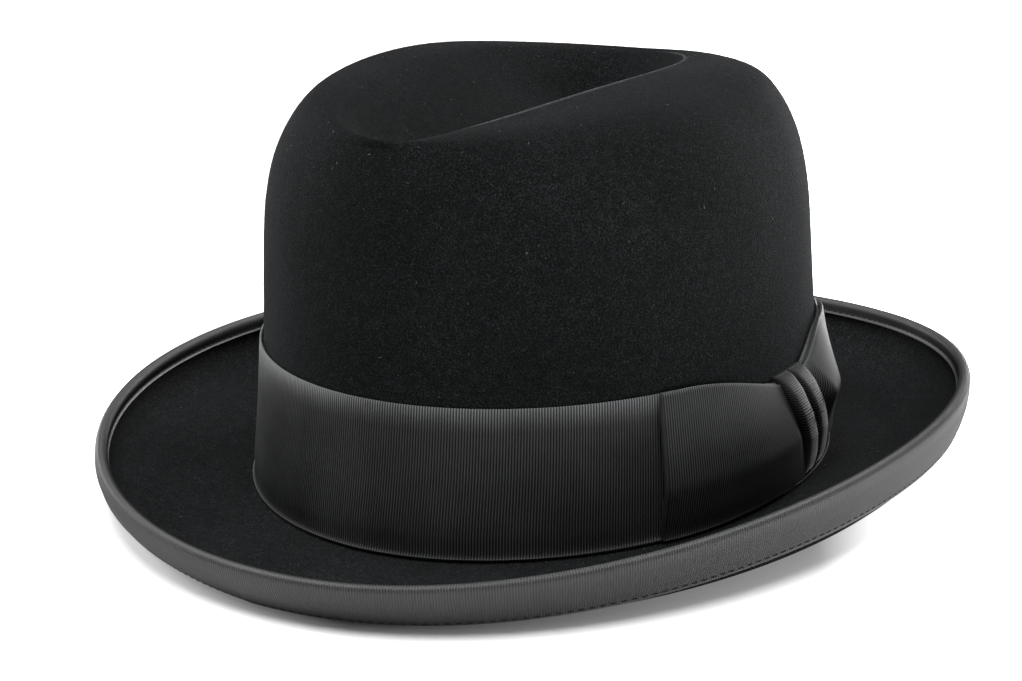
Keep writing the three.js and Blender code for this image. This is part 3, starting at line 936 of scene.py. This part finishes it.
def loop_path(table, ribs, reach, towards, column):
    """Places along the band, heights and distances from its face, for the middle of the loop's ribbon."""
    count = ribs * RIB_COLUMNS
    v = np.linspace(0, 1, LOOP_POINTS)
    end = loop_columns(table, 1.0)
    inner_lift = LOOP_SEAT + LOOP_RIBBON / 2
    end_lift = inner_lift + LOOP_AIR + end["lift"] * ridge_form(v, end["ridge"])
    knot_edge = wrap_along(column, np.array([KNOT_LOW, KNOT_HIGH])) + towards * WRAP_WIDTH * UNDER_WRAP
    start = (knot_edge * towards).min() * towards
    stop = KNOT_PLACE + towards * (reach - LOOP_CREASE)
    path = []
    for share in np.linspace(0, 1, count):
        row = loop_columns(table, share)
        top = band_top(np.array(KNOT_PLACE + towards * reach * share)) * row["high"]
        up = middle(BAND_HEIGHT * row["low"], top, v)
        along = middle(start, stop, share)
        past_wrap = towards * (along - wrap_along(column, up)) / WRAP_WIDTH
        lift = inner_lift + LOOP_AIR + row["lift"] * ridge_form(v, row["ridge"]) * smooth(past_wrap - 0.1)
        path.append((np.full(LOOP_POINTS, along), up, lift))
    end_up = path[-1][1]
    crease = np.minimum(LOOP_CREASE, (end_lift - inner_lift) / 2)
    for angle in np.linspace(0, math.pi, 8)[1:]:
        path.append((stop + towards * crease * math.sin(angle), end_up, end_lift - crease * (1 - math.cos(angle))))
    for share in np.linspace(0, 1, 5)[1:]:
        out = middle(end_lift - 2 * crease, inner_lift, smooth(share))
        path.append((np.full(LOOP_POINTS, stop - towards * LOOP_TUCK * share), end_up, out))
    for share in np.linspace(LAYER_FROM, 0, 12):
        along, up, _ = path[int(round(share * (count - 1)))]
        path.append((along, middle(up.mean(), up, LAYER_WIDTH), np.full(LOOP_POINTS, inner_lift)))
    return (np.array([step[i] for step in path]) for i in range(3))


def loop_solid(name, table, reach, towards, column):
    """One loop of the bow. towards is -1 to the front and 1 to the back, column the wrap that it starts at."""
    ribs = round(reach / RIB_PITCH)
    along, up, out = loop_path(table, ribs, reach, towards, column)
    sheet = side_point(along, up, out)
    facing = unit(np.cross(np.gradient(sheet, axis=0), np.gradient(sheet, axis=1)) * -towards)
    wave = np.zeros((len(sheet), 1))
    wave[:ribs * RIB_COLUMNS, 0] = rib_wave(ribs * RIB_COLUMNS)
    to_edge = 0.5 - np.abs(np.linspace(0, 1, LOOP_POINTS) - 0.5)
    half = LOOP_RIBBON / 2 * np.sqrt(np.clip(to_edge / 0.015, 0.3, 1))
    front = sheet + facing * (half + LOOP_RIB * wave * np.minimum(1, to_edge / 0.02))[..., None]
    back = sheet - facing * half[:, None]
    grid = np.concatenate([front, back[:, ::-1]], axis=1)
    across = np.concatenate([up, up[:, ::-1]], axis=1)
    # Both edges of the loop's ribbon get a painted highlight.
    return grid_solid(name, grid, False, True, ribbon_marks(grid, wave, across, np.tile(to_edge < 0.02, 2)))


front_loop = loop_solid("bow_loop_front", FRONT_LOOP, 66.0, -1, 1)
dress(front_loop, band_ribbon, "ribbon", "bow_front_loop")
back_loop = loop_solid("bow_loop_back", BACK_LOOP, 54.0, 1, 2)
dress(back_loop, band_ribbon, "ribbon", "bow_back_loop")

# %% [markdown]
# ## The knot's wraps
# Two narrow turns of ribbon bind the bow. They lie like small belts over its gathered middle and tuck in near the
# band's upper edge and again at the break.

# %% Knot wraps
WRAP_RUN = 46.0
WRAP_SIDES = 28
# How far the wrap's inside lies behind the bow, and how far it is drawn out again under the arch.
WRAP_SEAT, WRAP_DRAWN = 1.1, 1.2


def wrap_solid(name, column):
    """One wrap of the knot."""
    steps = round(WRAP_RUN / RIB_PITCH) * RIB_COLUMNS
    q = np.linspace(-1, 1, steps)
    up = middle(KNOT_LOW, KNOT_HIGH, 0.5 + 0.5 * np.sin(q * math.pi / 2 * 0.98) * 1.03)
    height = np.interp((up - KNOT_LOW) / (KNOT_HIGH - KNOT_LOW), WRAP_PLACES[:, 0], WRAP_PLACES[:, 3])
    arch = (np.clip(1 - np.abs(q) ** 5, 0, None) ** 0.6 * height)[:, None]
    around_section = np.linspace(0, 2 * math.pi, WRAP_SIDES, endpoint=False)
    a, b = np.cos(around_section), np.sin(around_section)
    across = 0.5 * WRAP_WIDTH * np.sign(a) * np.abs(a) ** 0.45
    bulge = np.where(b > 0, np.abs(b) ** 0.4, 0)
    wave = rib_wave(steps)[:, None]
    outside = -WRAP_SEAT + (WRAP_DEPTH + WRAP_SEAT) * arch * bulge + WRAP_RIB * wave * (b > 0.2)
    out = np.where(b > 0, outside, -WRAP_SEAT + WRAP_DRAWN * arch)
    along = wrap_along(column, up)[:, None] + across
    grid = side_point(along, up[:, None], out)
    return grid_solid(name, grid, False, True, ribbon_marks(grid, wave, across, 0))


wrap_front = wrap_solid("knot_turn_front", 1)
dress(wrap_front, band_ribbon, "ribbon", "knot_wrap_front")
wrap_back = wrap_solid("knot_turn_back", 2)
dress(wrap_back, band_ribbon, "ribbon", "knot_wrap_back")

# %% [markdown]
# ## Nap
# Fibre ends stand off velour felt everywhere, brushed one way round the crown. They blur its outline and give it
# its grain. A hair system would be lost in other programs, so each tuft is one slender pyramid of four triangles,
# placed by a seeded draw with the same density all over the felt that shows.

# %% Nap tufts
NAP_COUNT = 44000
NAP_LENGTH = (0.5, 1.1)
NAP_WIDTH = 0.10
NAP_LEAN = (0.25, 0.75)
NAP_STRAY = 0.7
NAP_ROOT = 0.05


def felt_that_shows():
    """For each square of the felt's fine grid, its area, or 0 where a ribbon covers it."""
    onward = np.roll(outer, -1, axis=1) - outer
    inward = np.diff(outer, axis=0)
    area = np.linalg.norm(np.cross(onward[:-1], inward), axis=-1)
    row = np.arange(len(outer) - 1)[:, None] / FELT_STEPS
    covered = (row > row_places["band_foot"] - 1) & (row < row_places["band_top"])
    bound = row < INSIDE_LEG / CURL_STEP
    return np.where(covered | bound, 0, area)


def nap_tufts(count):
    """Points and triangles of the tufts."""
    draw = np.random.default_rng(11)
    area = felt_that_shows()
    cell = draw.choice(area.size, count, p=area.ravel() / area.sum())
    row, column = np.unravel_index(cell, area.shape)
    after = (column + 1) % outer.shape[1]
    a, b = draw.random((2, count, 1))
    near, far = (middle(outer[place, column], outer[place, after], a) for place in (row, row + 1))
    facing = outer_normals[row, column]
    brushed = unit(outer[row, after] - outer[row, column]) + NAP_STRAY * draw.normal(size=(count, 3))
    lean = draw.uniform(*NAP_LEAN, (count, 1))
    onward = brushed - facing * (brushed * facing).sum(axis=1, keepdims=True)
    onward = unit(unit(onward) + facing * lean)
    across = unit(np.cross(facing, onward))
    upward = np.cross(onward, across)
    root = middle(near, far, b) - facing * NAP_ROOT
    half = NAP_WIDTH / 2
    tip = root + onward * draw.uniform(*NAP_LENGTH, (count, 1))
    tufts = np.stack([root + across * half, root - across * half, root + upward * half, tip], axis=1)
    first = np.arange(count)[:, None] * 4
    triangles = np.concatenate([first + np.array(face) for face in ((0, 1, 2), (0, 3, 1), (1, 3, 2), (2, 3, 0))])
    inside_out = np.linalg.det(tufts[:, :3] - tufts[:, 3:]).mean() >= 0
    return tufts.reshape(-1, 3), triangles[:, ::-1] if inside_out else triangles


nap_points, nap_triangles = nap_tufts(NAP_COUNT)
nap = mesh_object("felt_nap", nap_points * MM + OVAL_MIDDLE, nap_triangles, sharp=None)
nap_stops = [(0.35, grey(0.003, FELT_TINT)), (0.52, grey(0.011, FELT_TINT)), (0.68, grey(0.045, FELT_TINT))]
nap_finish = speckled("black_felt_nap", 900, 2, nap_stops, 0.7, Roughness=0.9, Specular_IOR_Level=0.05)
dress(nap, nap_finish.material, "felt")

# %% [markdown]
# ## Lint
# Black felt shows every pale fibre. Some short curved ones lie on the crown and the brim, placed by a seeded draw
# too, so that the hat looks the same each time.

# %% Lint fibres
LINT_COUNT = 260
LINT_LENGTH = (0.25, 1.1)
LINT_BEND = (-0.5, 0.5)
LINT_RADIUS = 0.035
LINT_OVER_FELT = 0.12
# No lint lies on the first rows, in the brim's curl, or on the last ones, at the dent's floor.
LINT_FIRST_ROW, LINT_LAST_ROWS = 6 * FELT_STEPS, 8


def lint_paths(count):
    """Short bent paths that lie on the felt."""
    draw = np.random.default_rng(7)
    rows, columns = outer.shape[:2]
    share = np.linspace(-0.5, 0.5, 6)[:, None]
    paths = []
    for _ in range(count):
        row = int(draw.integers(LINT_FIRST_ROW, rows - LINT_LAST_ROWS))
        column = int(draw.integers(0, columns))
        facing = outer_normals[row, column]
        side = unit(np.cross(facing, draw.normal(size=3)))
        length = draw.uniform(*LINT_LENGTH)
        bend = draw.uniform(*LINT_BEND) * length
        bent = side * share * length + np.cross(facing, side) * bend * share ** 2
        paths.append(outer[row, column] + bent + facing * LINT_OVER_FELT)
    return np.array(paths)


lint_stops = [(0.35, grey(0.03)), (0.65, grey(0.16))]
lint_finish = speckled("pale_lint", 300, 1, lint_stops, Roughness=0.8, Sheen_Weight=0.3)
lint = thread_mesh("felt_lint", lint_paths(LINT_COUNT), LINT_RADIUS * np.array([0.6, 1, 1, 1, 1, 0.6]), 4)
dress(lint, lint_finish.material, "felt")

# %% [markdown]
# ## Studio
# The hat lies brim down on a pale table in soft white light. A low light behind it on the right of the view draws
# the bright edge of the crown, one on its left rakes over the band's ribs, and a wide one above opens the top. The
# table is no lamp, but its colour is painted with light: its emission shines brightly on the right, faintly on the
# left and not at all just under the hat, and lights the binding and the bow from below.

# %% Floor and light
# For each light: azimuth and elevation in degrees, distance and size in metres, power in watts.
LIGHTS = {
    "light_right_behind": (162, 17, 1.7, 0.8, 26),
    "light_left": (-98, 18, 1.7, 0.8, 26),
    "light_above": (20, 80, 1.5, 1.4, 46),
}
WORLD_LIGHT = 0.34
LIT_HEIGHT = 0.06
# The table lies just under the hat and rises beyond a distance, all in metres.
TABLE_UNDER, TABLE_RISE, TABLE_LEVEL = 0.0004, 0.04, 3.5


def floor_sheet(size=6.0, steps=24):
    """A wide pale table top with a soft rise far behind, so that no horizon shows."""
    line = np.linspace(-size, size, steps)
    x, y = np.meshgrid(line, line)
    z = -TABLE_UNDER + TABLE_RISE * np.maximum(0, np.hypot(x, y) - TABLE_LEVEL) ** 2
    points = np.stack([x, y, z], axis=-1).reshape(-1, 3)
    index = np.arange(steps * steps).reshape(steps, steps)
    faces = np.stack([index[:-1, :-1], index[:-1, 1:], index[1:, 1:], index[1:, :-1]], axis=-1).reshape(-1, 4)
    return mesh_object("table_top", points, faces, sharp=None)


def direction(azimuth, elevation):
    """From the hat towards a light or camera. Azimuth 0 is in front, and 90 on the wearer's left."""
    sin_a, cos_a = math.sin(azimuth), math.cos(azimuth)
    return Vector((sin_a * math.cos(elevation), -cos_a * math.cos(elevation), math.sin(elevation)))


def soft_light(name, azimuth, elevation, distance, size, power):
    """An area light that looks at the hat's middle."""
    data = bpy.data.lights.new(name, "AREA")
    data.shape = "DISK"
    data.size = size
    data.energy = power
    light = bpy.data.objects.new(name, data)
    towards = direction(math.radians(azimuth), math.radians(elevation))
    light.location = towards * distance + Vector((0, 0, LIT_HEIGHT))
    light.rotation_euler = towards.to_track_quat("Z", "Y").to_euler()
    bpy.context.scene.collection.objects.link(light)


floor = floor_sheet()
table_stops = [(0.3, grey(0.86)), (0.7, grey(0.9))]
table_finish = speckled("pale_table_with_painted_glow", 3, 2, table_stops, Roughness=0.7, Specular_IOR_Level=0.2, Emission_Strength=4.0)
# Painted light: the table's emission shines brightly on the right of the view, faintly on the left, not at all just
# under the hat.
to_the_right = table_finish.add(
    "ShaderNodeVectorMath", {"operation": "DOT_PRODUCT"}, {0: table_finish.place(), 1: (1.37, 0.61, 0.0)}, "Value",
)
painted_glow = [(0.20, grey(0.14)), (0.42, grey(0.0)), (0.62, grey(0.06)), (0.78, grey(1.0))]
table_finish.feed(table_finish.shader, {"Emission Color": table_finish.ramp(to_the_right + 0.5, painted_glow)})
floor.data.materials.append(table_finish.material)

for name, settings in LIGHTS.items():
    soft_light(name, *settings)

world = bpy.data.worlds.new("white_studio")
world.use_nodes = True
background = world.node_tree.nodes["Background"].inputs
background["Color"].default_value = (1.0, 1.0, 1.0, 1.0)
background["Strength"].default_value = WORLD_LIGHT
bpy.context.scene.world = world
bpy.context.scene.view_settings.view_transform = "Standard"
print("Lights:", [item.name for item in bpy.data.lights])

# %% [markdown]
# ## Camera
# The camera looks from the front and the wearer's left, a little from above. Its place was found by laying the
# hat's ovals over the photo: the angle, a small roll, the distance and the focal length in image pixels.

# %% Camera
IMAGE_WIDTH = 1022
FOCAL_PIXELS = 2806.0
CAMERA_AZIMUTH, CAMERA_ELEVATION, CAMERA_ROLL = (math.radians(angle) for angle in (24.0, 16.6, 1.4))
CAMERA_DISTANCE = 900.0
CAMERA_SIDE, CAMERA_UP = 9.8, -34.5


def place_camera():
    """A camera at the photo's angle to the hat."""
    back = direction(CAMERA_AZIMUTH, CAMERA_ELEVATION)
    level_right = Vector((math.cos(CAMERA_AZIMUTH), math.sin(CAMERA_AZIMUTH), 0.0))
    level_up = back.cross(level_right)
    right = level_right * math.cos(CAMERA_ROLL) - level_up * math.sin(CAMERA_ROLL)
    up = level_right * math.sin(CAMERA_ROLL) + level_up * math.cos(CAMERA_ROLL)
    data = bpy.data.cameras.new("studio_camera")
    data.sensor_width = 36.0
    data.lens = FOCAL_PIXELS / IMAGE_WIDTH * data.sensor_width
    camera = bpy.data.objects.new("studio_camera", data)
    spot = (back * CAMERA_DISTANCE - right * CAMERA_SIDE - up * CAMERA_UP) * MM + Vector(OVAL_MIDDLE)
    turn = Matrix((right, up, back)).transposed().to_4x4()
    camera.matrix_world = Matrix.Translation(spot) @ turn
    bpy.context.scene.collection.objects.link(camera)
    bpy.context.scene.camera = camera
    return camera


camera = place_camera()
print("Camera at", [round(value, 3) for value in camera.matrix_world.translation], "lens", round(camera.data.lens, 1))

# %% [markdown]
# ## Last update
# The view layer is brought up to date.

# %% Update the view layer
bpy.context.view_layer.update()
